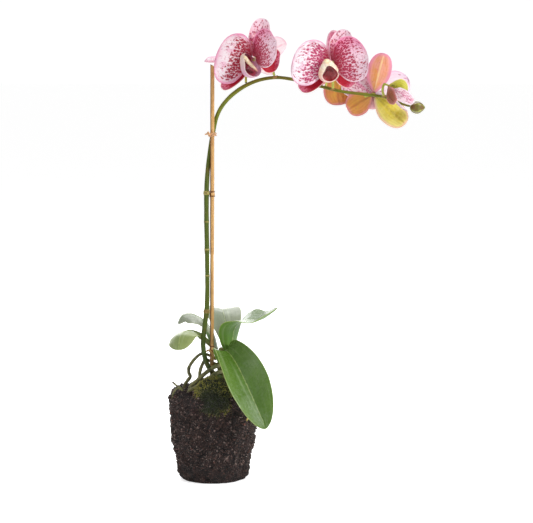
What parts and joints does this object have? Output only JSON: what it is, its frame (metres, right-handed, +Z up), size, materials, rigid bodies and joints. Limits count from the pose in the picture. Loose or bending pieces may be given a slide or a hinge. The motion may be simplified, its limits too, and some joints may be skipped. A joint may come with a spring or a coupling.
{
  "type": "moth orchid plant in a bare root ball",
  "caption": "Moth orchid lifted out of its pot: dark root ball, moss, strap leaves and a caned spike that arches under speckled pink flowers",
  "frame": {"origin": "middle of the root ball's flat foot, which rests on the ground", "axes": "+Z up along the cane, +X the way the flower spike arches, -Y the front"},
  "size_m": [0.3288, 0.1672, 0.5986],
  "materials": {
    "soil": "matte",
    "moss": "matte",
    "root_skin": "matte",
    "crown": "satin",
    "leaf": "satin",
    "stem": "satin",
    "stalk": "satin",
    "bud": "satin",
    "bamboo": "satin",
    "raffia": "matte",
    "sepal": "satin",
    "petal": "satin",
    "lip": "satin"
  },
  "bodies": {
    "root": {"root_ball": "soil", "moss_cushion": "moss", "bamboo_cane": "bamboo", "raffia_tie": "raffia", "crown_stem": "crown", "flower_spike": "stem", "end_bud": "bud", "leaf_front": "leaf", "leaf_right": "leaf", "leaf_left": "leaf", "leaf_back": "leaf", "leaf_left_low": "leaf", "root_front_upper": "root_skin", "root_front_lower": "root_skin", "root_arched_left": "root_skin", "root_arched_inner": "root_skin", "rootlet_rim": "root_skin", "flower_1_upper_sepal": "sepal", "flower_1_left_sepal": "sepal", "flower_1_right_sepal": "sepal", "flower_1_left_petal": "petal", "flower_1_right_petal": "petal", "flower_1_lip": "lip", "flower_1_column": "stalk", "flower_2_upper_sepal": "sepal", "flower_2_left_sepal": "sepal", "flower_2_right_sepal": "sepal", "flower_2_left_petal": "petal", "flower_2_right_petal": "petal", "flower_2_lip": "lip", "flower_2_column": "stalk", "flower_3_upper_sepal": "sepal", "flower_3_left_sepal": "sepal", "flower_3_right_sepal": "sepal", "flower_3_left_petal": "petal", "flower_3_right_petal": "petal", "flower_3_lip": "lip", "flower_3_column": "stalk", "flower_4_upper_sepal": "sepal", "flower_4_left_sepal": "sepal", "flower_4_right_sepal": "sepal", "flower_4_left_petal": "petal", "flower_4_right_petal": "petal", "flower_4_lip": "lip", "flower_4_column": "stalk", "flower_5_upper_sepal": "sepal", "flower_5_left_sepal": "sepal", "flower_5_right_sepal": "sepal", "flower_5_left_petal": "petal", "flower_5_right_petal": "petal", "flower_5_lip": "lip", "flower_5_column": "stalk", "flower_6_upper_sepal": "sepal", "flower_6_left_sepal": "sepal", "flower_6_right_sepal": "sepal", "flower_6_left_petal": "petal", "flower_6_right_petal": "petal", "flower_6_lip": "lip", "flower_6_column": "stalk"}
  },
  "joints": []
}
